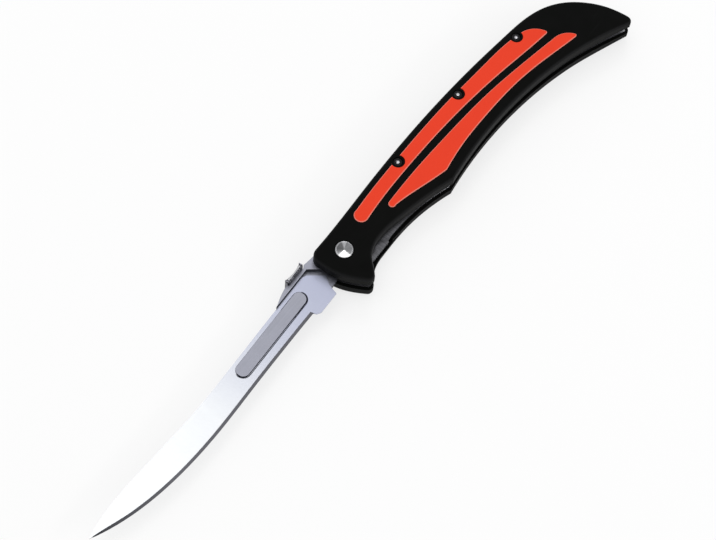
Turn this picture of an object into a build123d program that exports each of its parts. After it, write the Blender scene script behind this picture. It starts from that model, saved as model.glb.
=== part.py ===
from build123d import *
import math
import os

# Folding fillet knife with a replaceable blade, lying on its far side with the blade open
# Lengths in millimetres, +X from blade to butt, +Y from belly to back, +Z from far side to near side
# Every outline is drawn round the pivot, and the whole knife is then centred on its own box

# Reach and height about the pivot
tip_reach = 135.6
butt_reach = 145.0
back_height = 8.4
handle_height = 41.0

# Thickness through the handle, from the far grips to the near grips
grip_proud = 0.3
scale_thickness = 4.3
slot_width = 4.4
liner_thickness = 1.2
washer_thickness = 0.4
side_play = 0.02
overrun = 5.0

# Redrawing of parallel outlines
redraw_step = 4.0
redraw_shortest = 0.3
redraw_count = 8
facing_share = 0.9

# Scales
scale_rounding = 1.2
taper_start_share = 0.87
taper_depth = 1.4
liner_rim = 1.3
liner_fit = 0.05

# Grips
grip_recess = 1.5
grip_seam = 0.1
grip_rounding = 0.4
grip_corner = 0.8
screw_land_radius = 2.6

# Pivot
barrel_radius = 2.25
pivot_head_radius = 3.35
pivot_head_height = 1.2
pivot_head_proud = 0.12
pivot_head_seam = 0.25
pivot_dish_depth = 0.35
pivot_dish_share = 0.8
pivot_dish_floor_share = 0.1
pivot_shaft_radius = 1.5
pivot_drive_radius = 1.35
pivot_drive_depth = 0.9
washer_gap = 0.2
running_fit = 0.04
thread_fit = 0.02
barrel_end_gap = 0.3

# Handle screws and their barrel nuts
screw_head_radius = 1.7
screw_head_height = 0.9
screw_head_sunk = 0.15
screw_seam = 0.12
screw_shaft_radius = 1.0
screw_drive_radius = 0.75
screw_drive_depth = 0.6
drive_lobes = 6
nut_radius = 1.5
nut_fit = 0.03
nut_end_gap = 0.3

# Stop pin and tang
stop_pin_radius = 1.5
stop_radius = 8.3
stop_angle = 27.0
stop_gap = 0.05
fold_angle = 175.5
tang_gap = 0.35
lock_face_reach = 5.0
lock_face_drop = 1.0
shoulder_margin = 1.3
lobe_margin = 0.9

# Blade holder
seat_height = 8.6
ledge_height = 7.45
plate_thickness = 1.5
recess_wall_distance = 5.5
recess_wall_angle = 36.9
bar_rear = 20.2
bar_front = 59.2
bar_width = 5.5
bar_centre = 3.0
bar_lip_height = 0.35
bar_lip_overhang = 0.35
bar_wide_length = 12.0
bar_edge = 0.15
plate_nose = 3.3

# Blade
blade_spine_gap = 0.15
blade_rear_gap = 1.8
blade_rear_rise = 6.4
blade_rear_length = 7.1
blade_width = 11.4
heel_reach = 24.5
blade_thickness = 0.7
bevel_width = 1.1
blade_lift = 0.02
slot_fit = 0.12

# Thumb saddle
saddle_rear = 12.5
saddle_length = 8.9
saddle_width = 7.6
saddle_thickness = 1.2
saddle_horn = 0.8
saddle_fit = 0.02
saddle_horn_share = 0.7
saddle_screw_radius = 0.8
saddle_screw_head_radius = 1.25
saddle_screw_head_height = 0.45
saddle_screw_end_gap = 0.1
saddle_way_gap = 0.15
saddle_way_margin = 0.8

# Lock leaf
leaf_gap = 0.05
leaf_root = 71.0
leaf_top_gap = 0.3
leaf_top_at_root = 3.9
leaf_slit = 0.5
leaf_root_gap = 0.1
leaf_lift = 1.3
leaf_neck = 6.0
leaf_notch = 2.4
tab_reach = 9.4
tab_length = 10.2
tab_slope_share = 0.25
rib_count = 12
rib_radius = 0.28
ball_radius = 0.8
ball_proud = 0.35
ball_along = 7.6
ball_below = 3.4
dimple_fit = 0.15

# Back spacer
spacer_front = 31.0
spacer_inset = 0.9
spacer_wall = 0.9

# Levels through the thickness
far_face = grip_proud
far_wall = far_face + scale_thickness
near_wall = far_wall + slot_width
near_face = near_wall + scale_thickness
mid_level = (far_face + near_face) / 2
far_liner_level = far_wall - liner_thickness
near_liner_level = near_wall + liner_thickness
tang_bottom = far_wall + washer_thickness + side_play
tang_top = near_wall - washer_thickness - side_play
blade_floor = tang_bottom + plate_thickness
blade_top = blade_floor + blade_lift + blade_thickness
saddle_screw_depth = seat_height - ledge_height - saddle_screw_end_gap

# Sizes that follow from their neighbours
tang_radius = stop_radius - stop_pin_radius - tang_gap
washer_radius = lock_face_reach - washer_gap
leaf_front = lock_face_reach + leaf_gap
leaf_top = lock_face_drop + leaf_top_gap
plate_front = bar_front + plate_nose
blade_spine_height = ledge_height - blade_spine_gap
taper_start = butt_reach * taper_start_share

# Place of the pivot in the knife's own box
butt_drop = handle_height - back_height
saddle_top = seat_height + saddle_fit + saddle_thickness + saddle_horn
pivot_x = (tip_reach - butt_reach) / 2
pivot_y = (butt_drop - saddle_top) / 2

# Handle outline as shares of butt_reach along and of handle_height down from the back
back_shares = [
    (-0.041, 0.0), (0.062, 0.006), (0.166, 0.002), (0.317, 0.006), (0.517, 0.044), (0.648, 0.092),
    (0.752, 0.142), (0.828, 0.190), (0.886, 0.268), (0.934, 0.395), (0.966, 0.540), (0.986, 0.680),
    (0.997, 0.827), (1.0, 0.930),
]
butt_corner_shares = [(0.997, 0.975), (0.984, 1.0)]
belly_rear_shares = [
    (0.921, 0.897), (0.837, 0.778), (0.719, 0.660), (0.586, 0.584), (0.464, 0.561), (0.323, 0.588),
]
far_belly_shares = [
    (0.262, 0.519), (0.210, 0.479), (0.140, 0.453), (0.083, 0.450), (0.041, 0.461), (0.017, 0.494),
    (-0.008, 0.550),
]
near_belly_shares = [
    (0.262, 0.514), (0.210, 0.462), (0.161, 0.420), (0.123, 0.392), (0.083, 0.380), (0.052, 0.394),
    (0.028, 0.432), (0.010, 0.492), (-0.008, 0.550),
]
guard_tip_shares = [(-0.020, 0.569), (-0.031, 0.552)]
front_shares = [(-0.047, 0.450), (-0.059, 0.345), (-0.066, 0.215), (-0.066, 0.110)]
nose_corner_share = (-0.060, 0.032)

# Grip outlines as shares of the same two sizes
upper_grip_top_shares = [
    (0.106, 0.070), (0.170, 0.063), (0.235, 0.064), (0.317, 0.071), (0.497, 0.105), (0.634, 0.156),
    (0.738, 0.205), (0.785, 0.250),
]
upper_grip_rear_shares = [(0.812, 0.320), (0.826, 0.445)]
upper_grip_bottom_shares = [
    (0.757, 0.404), (0.668, 0.342), (0.568, 0.283), (0.396, 0.217), (0.283, 0.196), (0.200, 0.190),
    (0.102, 0.203),
]
upper_grip_front_share = (0.082, 0.137)
lower_grip_top_shares = [
    (0.172, 0.254), (0.232, 0.255), (0.297, 0.262), (0.417, 0.292), (0.511, 0.322), (0.596, 0.361),
    (0.672, 0.410), (0.749, 0.466), (0.815, 0.517),
]
lower_grip_rear_shares = [(0.850, 0.577), (0.866, 0.684)]
lower_grip_bottom_shares = [
    (0.828, 0.652), (0.759, 0.587), (0.655, 0.509), (0.519, 0.466), (0.428, 0.460), (0.335, 0.490),
]
lower_grip_slope_shares = [(0.270, 0.422), (0.228, 0.373), (0.176, 0.322)]
lower_grip_front_share = (0.163, 0.289)

# Screw places as shares of the same two sizes
screw_shares = [(0.279, 0.093), (0.531, 0.139), (0.763, 0.234)]

# Blade outline as shares from heel_reach out to the tip, and of blade_width down from the spine
spine_shares = [
    (-0.077, 0.0), (0.085, 0.0), (0.268, 0.012), (0.390, 0.018), (0.487, 0.0), (0.585, -0.060),
    (0.683, -0.135), (0.756, -0.190), (0.841, -0.235), (0.915, -0.225), (0.963, -0.180), (1.0, -0.114),
]
cutting_shares = [
    (0.927, 0.235), (0.878, 0.414), (0.829, 0.560), (0.756, 0.725), (0.677, 0.850), (0.597, 0.930),
    (0.487, 0.980), (0.317, 0.975), (0.146, 0.978), (0.0, 1.0),
]

# Release tab behind the heel as shares of heel_reach along and of blade_width down from the spine
tab_shares = [(0.974, 1.10), (0.913, 1.185), (0.542, 1.19), (0.490, 0.833)]

# Holder outline: spine as shares of seat_height, plate under the blade as shares of plate_front
holder_spine_shares = [(0.60, 0.92), (0.0, 0.94), (-0.80, 0.99), (-1.36, 1.075)]
holder_peak_share = 1.10
holder_ledge_shares = [(-2.90, 1.045), (-3.45, 0.885)]
plate_spine_shares = [(-0.56, 0.108), (-0.90, 0.088)]
plate_belly_shares = [(-0.90, -0.004), (-0.40, -0.030), (-0.22, -0.055)]

# Spacer's lower edge as shares of butt_reach along and of handle_height down from the back
spacer_end_share = 0.845
spacer_lower_shares = [
    (0.279, 0.152), (0.40, 0.150), (0.531, 0.196), (0.66, 0.225), (0.763, 0.292), (0.838, 0.345),
]


def handle_point(along_share, down_share):
    return (along_share * butt_reach, back_height - down_share * handle_height)


def handle_points(shares):
    return [handle_point(along, down) for along, down in shares]


def blade_points(shares, start, length):
    # Points out along the blade and down from its spine
    return [(-start - along * length, blade_spine_height - down * blade_width) for along, down in shares]


def holder_points(shares, size):
    return [(along * size, up * size) for along, up in shares]


def polar_point(radius, degrees):
    angle = math.radians(degrees)
    return (radius * math.cos(angle), radius * math.sin(angle))


def slab(face, low, high):
    return Pos(0, 0, low) * extrude(face, high - low)


def rod(radius, low, high, place=(0, 0)):
    return Pos(place[0], place[1], low) * extrude(Circle(radius), high - low)


def block(x_low, x_high, y_low, y_high, z_low, z_high):
    size = (x_high - x_low, y_high - y_low, z_high - z_low)
    centre = ((x_low + x_high) / 2, (y_low + y_high) / 2, (z_low + z_high) / 2)
    return Pos(*centre) * Box(*size)


def near_copy(solid):
    # The near side mirrors the far side about the middle of the handle
    return mirror(solid, about=Plane.XY.offset(mid_level))


def handle_outline(belly_front_shares):
    back = Spline(*handle_points(back_shares))
    butt = Spline(back @ 1, *handle_points(butt_corner_shares))
    belly_rear = Spline(butt @ 1, *handle_points(belly_rear_shares))
    belly_front = Spline(belly_rear @ 1, *handle_points(belly_front_shares))
    guard_tip = ThreePointArc(belly_front @ 1, *handle_points(guard_tip_shares))
    front = Spline(guard_tip @ 1, *handle_points(front_shares))
    nose = ThreePointArc(front @ 1, handle_point(*nose_corner_share), back @ 0)
    return make_face([back, butt, belly_rear, belly_front, guard_tip, front, nose])


def drawn_in(face, amount):
    # Parallel outline inside a face, redrawn round its rim as plain arcs, lines and splines
    rim = offset(face, -amount).face().outer_wire().order_edges()
    edges = [edge for edge in rim if edge.length > redraw_shortest]
    start = edges[0] @ 0
    if edges[1].distance_to(start) < edges[1].distance_to(edges[0] @ 1):
        start = edges[0] @ 1
    home = start
    lines = []
    for edge in edges:
        forward = (edge @ 0 - start).length < (edge @ 1 - start).length
        end = edge @ 1 if forward else edge @ 0
        if edge is edges[-1]:
            end = home
        lines.append(redrawn_edge(edge, start, end, forward))
        start = end
    return make_face(lines)


def redrawn_edge(edge, start, end, forward):
    if edge.geom_type == GeomType.LINE:
        return Line(start, end)
    if edge.geom_type == GeomType.CIRCLE:
        return ThreePointArc(start, edge @ 0.5, end)
    steps = max(redraw_count, int(edge.length / redraw_step))
    inner = [edge @ (index / steps) for index in range(1, steps)]
    tangents = (edge % 0, edge % 1)
    if not forward:
        inner.reverse()
        tangents = (edge % 1 * -1, edge % 0 * -1)
    return Spline(start, *inner, end, tangents=tangents)


def taper_cutter(level):
    # Beyond taper_start the outer face leaves the flat along a wide arc, down to the butt
    span = butt_reach - taper_start
    radius = (span ** 2 + taper_depth ** 2) / (2 * taper_depth)
    reach = span + overrun
    start = Vector(taper_start, 0, level)
    middle = Vector(taper_start + reach / 2, 0, level + radius - math.sqrt(radius ** 2 - (reach / 2) ** 2))
    end = Vector(taper_start + reach, 0, level + radius - math.sqrt(radius ** 2 - reach ** 2))
    curve = ThreePointArc(start, middle, end)
    below = Polyline(end, (end.X, 0, level - overrun), (start.X, 0, level - overrun), start)
    depth = handle_height + back_height
    return extrude(make_face([curve, below]), depth, both=True)


def outer_edges(solid, level):
    # Rim of the outer face, flat part and taper together
    low_faces = solid.faces().filter_by(lambda face: face.center().Z < level)
    low_faces = low_faces.filter_by(lambda face: face.normal_at().Z < -facing_share)
    edges = low_faces.edges()
    return [edge for edge in edges if sum(edge.is_same(other) for other in edges) == 1]


def scale_body(outline):
    # Plate on the far side's levels with its outer rim rounded over
    body = slab(outline, far_face, far_wall) - taper_cutter(far_face)
    return fillet(outer_edges(body, mid_level), scale_rounding)


def rounded_strip(strip, growth):
    # Strip with its corners rounded by drawing it in and letting it out again
    return drawn_in(offset(strip, -grip_corner), -(grip_corner + growth))


def upper_grip_outline(growth):
    # Strip along the back
    top = Spline(*handle_points(upper_grip_top_shares))
    rear = ThreePointArc(top @ 1, *handle_points(upper_grip_rear_shares))
    bottom = Spline(rear @ 1, *handle_points(upper_grip_bottom_shares))
    front = ThreePointArc(bottom @ 1, handle_point(*upper_grip_front_share), top @ 0)
    return rounded_strip(make_face([top, rear, bottom, front]), growth)


def lower_grip_outline(growth):
    # Strip along the belly
    top = Spline(*handle_points(lower_grip_top_shares))
    rear = ThreePointArc(top @ 1, *handle_points(lower_grip_rear_shares))
    bottom = Spline(rear @ 1, *handle_points(lower_grip_bottom_shares))
    slope = Spline(bottom @ 1, *handle_points(lower_grip_slope_shares))
    front = ThreePointArc(slope @ 1, handle_point(*lower_grip_front_share), top @ 0)
    return rounded_strip(make_face([top, rear, bottom, slope, front]), growth)


def screw_lands(growth):
    # Rounds about the screws that the upper strip leaves free
    lands = Part()
    for share in screw_shares:
        lands += rod(screw_land_radius - growth, -overrun, far_wall, handle_point(*share))
    return lands


def grip(outline):
    # Rubber strip seated in its recess, a little proud of the scale
    body = slab(outline, 0, far_face + grip_recess)
    return fillet(body.edges().group_by(Axis.Z)[0], grip_rounding)


def upper_grip():
    return grip(upper_grip_outline(-grip_seam / 2)) - screw_lands(-grip_seam / 2)


def lower_grip():
    return grip(lower_grip_outline(-grip_seam / 2))


def liner_outline(handle_face):
    return drawn_in(handle_face, liner_rim)


def leaf_band(margin, root):
    # Strip of the lock liner from the lock face back to the leaf's root, widened by a margin
    front = leaf_front - margin
    points = [(front, margin - leaf_top), (root, margin - leaf_top_at_root), (root, -handle_height),
              (front, -handle_height)]
    return make_face(Polyline(*points, close=True))


def leaf_notch_face():
    # Cut that narrows the leaf to its neck at the root, so that it can bend there
    top = -leaf_top_at_root - leaf_neck
    middle = leaf_root - leaf_notch / 2
    notch = Pos(middle, top - handle_height / 2) * Rectangle(leaf_notch, handle_height)
    return notch + Pos(middle, top) * Circle(leaf_notch / 2)


def tab_slope():
    return (tab_reach - ball_below) * tab_slope_share


def tab_face():
    # Thumb tab behind the guard, below the edge of the far scale, with ribs along its edge
    rear = leaf_front + tab_length
    points = [(leaf_front, -ball_below), (leaf_front, -tab_reach), (rear, -tab_reach),
              (rear + tab_slope(), -ball_below)]
    tab = make_face(Polyline(*points, close=True))
    pitch = tab_length / rib_count
    for index in range(rib_count):
        tab -= Pos(leaf_front + (index + 1 / 2) * pitch, -tab_reach) * Circle(rib_radius)
    return tab


def lifted(solid):
    # The sprung leaf stands off its liner, turned about its root
    angle = math.degrees(math.asin(leaf_lift / (leaf_root - leaf_front)))
    axis = Axis((leaf_root, 0, far_wall - liner_thickness / 2), (0, 1, 0))
    return solid.rotate(axis, angle)


def screw_bore(place, radius, seam_radius, head_height, sunk):
    # Through hole and head seat for a fastener in the far side's levels
    hole = rod(radius, 0, far_wall + overrun, place)
    seat = rod(seam_radius, -overrun, far_face + head_height + sunk, place)
    return hole + seat


def pivot_seat():
    return screw_bore((0, 0), barrel_radius + liner_fit, pivot_head_radius + pivot_head_seam,
                      pivot_head_height, -pivot_head_proud)


def scale(outline):
    body = scale_body(outline)
    body -= slab(drawn_in(outline, liner_rim - liner_fit), far_liner_level, far_wall + overrun)
    upper_recess = slab(upper_grip_outline(grip_seam / 2), -overrun, far_face + grip_recess)
    body -= upper_recess - screw_lands(grip_seam / 2)
    body -= slab(lower_grip_outline(grip_seam / 2), -overrun, far_face + grip_recess)
    body -= pivot_seat()
    for share in screw_shares:
        body -= screw_bore(handle_point(*share), nut_radius + liner_fit, screw_head_radius + screw_seam,
                           screw_head_height, screw_head_sunk)
    return body


def tab_clearance():
    # Way through the far scale's belly rim for the leaf's thumb tab
    rear = leaf_front + tab_length + tab_slope()
    return block(leaf_front - leaf_slit, rear + leaf_slit, -handle_height, -ball_below,
                 far_liner_level - liner_fit, far_wall + overrun)


def saddle_clearance():
    # Way through the far scale's belly rim for the saddle when the blade is folded
    rear = saddle_way_margin - saddle_rear
    front = -(saddle_rear + saddle_length + saddle_way_margin)
    seat = seat_height - saddle_way_gap
    under = (tang_bottom + tang_top - saddle_width) / 2 - saddle_way_gap
    return Rot(0, 0, fold_angle) * block(front, rear, seat, handle_height, under, far_wall + overrun)


def far_scale():
    return scale(handle_outline(far_belly_shares)) - tab_clearance() - saddle_clearance()


def near_scale():
    return near_copy(scale(handle_outline(near_belly_shares)))


def liner_holes():
    holes = rod(barrel_radius + liner_fit, 0, near_face + overrun)
    holes += rod(stop_pin_radius + thread_fit, 0, near_face + overrun, polar_point(stop_radius, stop_angle))
    for share in screw_shares:
        holes += rod(nut_radius + liner_fit, 0, near_face + overrun, handle_point(*share))
    return holes


def lock_liner():
    plate = Sketch() + liner_outline(handle_outline(far_belly_shares))
    plate -= leaf_band(leaf_slit, leaf_root) + leaf_notch_face()
    return slab(plate, far_liner_level, far_wall) - liner_holes()


def near_liner():
    plate = liner_outline(handle_outline(near_belly_shares))
    return slab(plate, near_wall, near_liner_level) - liner_holes()


def lock_leaf():
    plate = Sketch() + liner_outline(handle_outline(far_belly_shares))
    band = plate & leaf_band(0, leaf_root - leaf_root_gap)
    band = band - leaf_notch_face() + tab_face()
    leaf = slab(band, far_liner_level, far_wall)
    leaf -= rod(ball_radius, far_liner_level - overrun, far_wall + overrun, (ball_along, -ball_below))
    return lifted(leaf)


def detent_ball():
    return lifted(Pos(ball_along, -ball_below, far_wall + ball_proud - ball_radius) * Sphere(ball_radius))


def stop_pin():
    return rod(stop_pin_radius, far_liner_level, near_liner_level, polar_point(stop_radius, stop_angle))


def washer(low):
    face = Circle(washer_radius) - Circle(barrel_radius + running_fit)
    return slab(face, low, low + washer_thickness)


def far_washer():
    return washer(far_wall)


def near_washer():
    return washer(near_wall - washer_thickness)


def drive_socket(radius, depth, face_level):
    # Lobed driver socket sunk into a head that faces the far side
    lobe = radius / 3
    socket = Circle(radius - lobe)
    for index in range(drive_lobes):
        x, y = polar_point(radius - lobe, index * 360 / drive_lobes)
        socket += Pos(x, y) * Circle(lobe)
    return Pos(0, 0, face_level - overrun) * extrude(socket, depth + overrun)


def pivot_barrel():
    # Drawn head down on the far side's levels and mirrored to the near side
    face = far_face - pivot_head_proud
    under_head = face + pivot_head_height
    end = near_face - pivot_head_height + pivot_head_proud - barrel_end_gap
    barrel = rod(pivot_head_radius, face, under_head)
    rim = barrel.edges().group_by(Axis.Z)[0]
    barrel = fillet(rim, pivot_head_height / 4)
    rim_radius = pivot_head_radius * pivot_dish_share
    floor_radius = pivot_head_radius * pivot_dish_floor_share
    barrel -= Pos(0, 0, face + pivot_dish_depth / 2) * Cone(rim_radius, floor_radius, pivot_dish_depth)
    barrel += rod(barrel_radius, under_head, end)
    barrel -= rod(pivot_shaft_radius + thread_fit, under_head + pivot_head_height, end + overrun)
    return near_copy(barrel)


def pivot_screw():
    face = far_face - pivot_head_proud
    under_head = face + pivot_head_height
    end = near_face - pivot_head_height * 2 - barrel_end_gap
    head = rod(pivot_head_radius, face, under_head)
    rim = head.edges().group_by(Axis.Z)[0]
    head = fillet(rim, pivot_head_height / 4)
    head -= drive_socket(pivot_drive_radius, pivot_drive_depth, face)
    return head + rod(pivot_shaft_radius, under_head, end)


def headed_rod(place, shaft_radius, shaft_end):
    # Fastener with a low rounded head, drawn head down on the far side's levels
    face = far_face + screw_head_sunk
    under_head = face + screw_head_height
    head = rod(screw_head_radius, face, under_head, place)
    head = fillet(head.edges().group_by(Axis.Z)[0], screw_head_height / 3)
    return head + rod(shaft_radius, under_head, shaft_end, place)


def handle_nuts():
    nuts = []
    for share in screw_shares:
        place = handle_point(*share)
        end = near_face - screw_head_height - screw_head_sunk - nut_end_gap
        nut = headed_rod(place, nut_radius, end)
        nut -= rod(screw_shaft_radius + thread_fit, far_face + screw_head_height * 2, end + overrun, place)
        nuts.append(nut)
    return Part() + nuts


def handle_screws():
    screws = []
    for share in screw_shares:
        place = handle_point(*share)
        end = near_face - screw_head_height * 2 - nut_end_gap
        screw = headed_rod(place, screw_shaft_radius, end)
        socket = drive_socket(screw_drive_radius, screw_drive_depth, far_face + screw_head_sunk)
        screw -= Pos(place[0], place[1], 0) * socket
        screws.append(near_copy(screw))
    return Part() + screws


def back_spacer():
    # Bar between the liners just inside the back, with a land round each barrel nut
    lower = Spline(*handle_points(spacer_lower_shares))
    end_x = spacer_end_share * butt_reach
    outline = Sketch() + drawn_in(handle_outline(far_belly_shares), spacer_inset)
    top = back_height + overrun
    rest = Polyline(lower @ 0, (spacer_front, (lower @ 0).Y), (spacer_front, top), (end_x, top),
                    (end_x, (lower @ 1).Y), lower @ 1)
    band = Sketch() + make_face([lower, rest])
    for share in screw_shares:
        band += Pos(*handle_point(*share)) * Circle(nut_radius + nut_fit + spacer_wall)
    bar = slab(outline & band, far_wall, near_wall)
    for share in screw_shares:
        bar -= rod(nut_radius + nut_fit, 0, near_face, handle_point(*share))
    return bar


def stop_shoulder_angles():
    # The tang's two shoulders, as the pin's own angle and that angle less the fold
    half = math.degrees(math.asin((stop_pin_radius + stop_gap) / stop_radius))
    return stop_angle + half, stop_angle - fold_angle - half


def holder_outline():
    open_angle, folded_angle = stop_shoulder_angles()
    seat_front = -(saddle_rear + saddle_length + saddle_fit * 2)
    peak = holder_peak_share * seat_height
    spine = Spline(*holder_points(holder_spine_shares, seat_height))
    ledge = Spline((seat_front, peak), *holder_points(holder_ledge_shares, seat_height))
    plate_top = holder_points(plate_spine_shares, plate_front)
    plate_low = holder_points(plate_belly_shares, plate_front)
    lobe = polar_point(stop_radius + lobe_margin, open_angle)
    shoulder = polar_point(stop_radius + shoulder_margin, folded_angle)
    nose = (-plate_front, (plate_top[-1][1] + plate_low[0][1]) / 2)
    front_end = ThreePointArc(plate_top[-1], nose, plate_low[0])
    lines = [
        Polyline((0, 0), lobe, spine @ 0),
        spine,
        Polyline(spine @ 1, (saddle_fit - saddle_rear, seat_height), (seat_front, seat_height),
                 (seat_front, peak)),
        ledge,
        Polyline(ledge @ 1, *plate_top),
        front_end,
        Polyline(*plate_low, shoulder, (0, 0)),
    ]
    arm = Sketch() + make_face(lines) + Circle(tang_radius)
    notch = Pos(lock_face_reach + tang_radius / 2, -lock_face_drop - tang_radius / 2)
    return arm - notch * Rectangle(tang_radius, tang_radius)


def wall_point(distance, rise):
    # Place beside the recess's slanted wall, by its distance from the pivot and its rise along the wall
    angle = math.radians(recess_wall_angle)
    x = -distance * math.cos(angle) - rise * math.sin(angle)
    y = -distance * math.sin(angle) + rise * math.cos(angle)
    return (x, y)


def recess_face():
    # Room for the blade's rear end, behind a slanted wall and under the spine ledge
    foot_x, foot_y = wall_point(recess_wall_distance, 0)
    angle = math.radians(recess_wall_angle)
    rise = (ledge_height - foot_y) / math.cos(angle)
    top = wall_point(recess_wall_distance, rise)
    low = wall_point(recess_wall_distance, -handle_height)
    points = [top, (-tip_reach, ledge_height), (-tip_reach, low[1]), low]
    return make_face(Polyline(*points, close=True))


def bar_outline(width, rear, front):
    # Oblong with round ends, along the blade
    length = front - rear
    return Pos(-(rear + front) / 2, bar_centre) * SlotOverall(length, width)


def fitting_bar():
    groove_width = bar_width - 2 * bar_lip_overhang
    groove = bar_outline(groove_width, bar_rear + bar_lip_overhang, bar_front - bar_lip_overhang)
    lip = bar_outline(bar_width, bar_rear, bar_front)
    lip_low = blade_top + blade_lift
    cap = slab(lip, lip_low, lip_low + bar_lip_height)
    cap = chamfer(cap.edges().group_by(Axis.Z)[-1], bar_edge)
    return slab(groove, blade_floor, lip_low) + cap


def blade_holder():
    body = slab(holder_outline(), tang_bottom, tang_top)
    body -= slab(recess_face(), blade_floor, tang_top + overrun)
    body += fitting_bar()
    body -= rod(barrel_radius + running_fit, 0, near_face)
    body -= dimple()
    body -= saddle_screw_hole()
    return body


def dimple():
    # Hollow in the holder's far face that takes the ball once the blade is folded
    radius = math.hypot(ball_along, ball_below)
    degrees = math.degrees(math.atan2(-ball_below, ball_along)) - fold_angle
    x, y = polar_point(radius, degrees)
    return Pos(x, y, far_wall + ball_proud - ball_radius) * Sphere(ball_radius + dimple_fit)


def blade_slot():
    # Slot that is wide at the rear, to pass the lip, and narrow where the lip holds it
    wide = bar_outline(bar_width + 2 * slot_fit, bar_rear - slot_fit, bar_rear + bar_wide_length)
    held_back = bar_lip_overhang - slot_fit
    narrow = bar_outline(bar_width - 2 * held_back, bar_rear + bar_wide_length / 2, bar_front - held_back)
    return wide + narrow


def blade_face(bevel):
    # Blade outline with its cutting edge drawn in by the bevel
    length = tip_reach - heel_reach
    spine = Spline(*blade_points(spine_shares, heel_reach, length))
    edge_points = [(x, y + bevel) for x, y in blade_points(cutting_shares, heel_reach, length)]
    cutting = Spline(spine @ 1, *edge_points)
    rear_distance = recess_wall_distance + blade_rear_gap
    rear_low = wall_point(rear_distance, blade_rear_rise)
    rear_top = wall_point(rear_distance, blade_rear_rise + blade_rear_length)
    tab = Polyline(cutting @ 1, *blade_points(tab_shares, 0, heel_reach), rear_low, rear_top, spine @ 0)
    return make_face([spine, cutting, tab])


def blade():
    low = blade_floor + blade_lift
    middle = low + blade_thickness / 2
    wide = Pos(0, 0, middle) * blade_face(0)
    lower = Pos(0, 0, low) * blade_face(bevel_width)
    upper = Pos(0, 0, low + blade_thickness) * blade_face(bevel_width)
    body = loft([lower, wide], ruled=True) + loft([wide, upper], ruled=True)
    return body - slab(blade_slot(), low - overrun, low + overrun)


def saddle_profile():
    # Shallow U seen from the side, with its two horns turned up and outwards
    rear = -saddle_rear - saddle_fit
    front = rear - saddle_length
    low = seat_height + saddle_fit
    floor = low + saddle_thickness
    top = floor + saddle_horn
    foot = floor + saddle_thickness / 3
    crook = top - saddle_thickness / 3
    bend = saddle_thickness * saddle_horn_share
    corner = saddle_thickness / 4
    chamfered = saddle_thickness / 2
    rear_end = Polyline((rear - chamfered, low), (rear, low + chamfered), (rear, top - corner),
                        (rear - corner, top))
    rear_horn = ThreePointArc(rear_end @ 1, (rear - bend, crook), (rear - saddle_thickness, foot))
    dip = ThreePointArc(rear_horn @ 1, ((rear + front) / 2, floor), (front + saddle_thickness, foot))
    front_horn = ThreePointArc(dip @ 1, (front + bend, crook), (front + corner, top))
    front_end = Polyline(front_horn @ 1, (front, top - corner), (front, low + chamfered),
                         (front + chamfered, low), rear_end @ 0)
    return make_face([rear_end, rear_horn, dip, front_horn, front_end])


def saddle_screw_place():
    return (-(saddle_rear + saddle_fit + saddle_length / 2), seat_height + saddle_fit)


def saddle_rod(radius, low, high):
    # Upright rod through the middle of the saddle, along the height of the knife
    x, y = saddle_screw_place()
    level = (tang_bottom + tang_top) / 2
    return Pos(x, y + (low + high) / 2, level) * Rot(-90, 0, 0) * Cylinder(radius, high - low)


def saddle_screw_hole():
    return saddle_rod(saddle_screw_radius + thread_fit, -saddle_screw_depth - thread_fit, overrun)


def thumb_saddle():
    level = (tang_bottom + tang_top) / 2
    body = Pos(0, 0, level) * extrude(saddle_profile(), saddle_width / 2, both=True)
    body -= saddle_rod(saddle_screw_radius + thread_fit, -overrun, overrun)
    sunk = saddle_thickness - saddle_screw_head_height
    body -= saddle_rod(saddle_screw_head_radius + screw_seam, sunk, overrun)
    return body


def saddle_screw():
    sunk = saddle_thickness - saddle_screw_head_height
    shaft = saddle_rod(saddle_screw_radius, -saddle_screw_depth, sunk)
    return shaft + saddle_rod(saddle_screw_head_radius, sunk, saddle_thickness)


pieces = {
    "far_scale": far_scale,
    "near_scale": near_scale,
    "far_upper_grip": upper_grip,
    "far_lower_grip": lower_grip,
    "near_upper_grip": lambda: near_copy(upper_grip()),
    "near_lower_grip": lambda: near_copy(lower_grip()),
    "lock_liner": lock_liner,
    "near_liner": near_liner,
    "lock_leaf": lock_leaf,
    "detent_ball": detent_ball,
    "back_spacer": back_spacer,
    "stop_pin": stop_pin,
    "far_washer": far_washer,
    "near_washer": near_washer,
    "pivot_barrel": pivot_barrel,
    "pivot_screw": pivot_screw,
    "handle_nuts": handle_nuts,
    "handle_screws": handle_screws,
    "blade_holder": blade_holder,
    "thumb_saddle": thumb_saddle,
    "saddle_screw": saddle_screw,
    "blade": blade,
}

os.makedirs("parts", exist_ok=True)
for name, make in pieces.items():
    placed = Pos(pivot_x, pivot_y, 0) * make()
    export_step(placed, f"parts/{name}.step")
    print(name, len(placed.solids()), round(placed.volume, 2))
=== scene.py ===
"""Folding fillet knife: finishes for its pieces, its screws and lock leaf, and a plain studio round it."""

import math

import bmesh
import bpy
from bpy.props import FloatProperty, FloatVectorProperty, IntProperty, PointerProperty
from mathutils import Matrix, Vector


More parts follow.
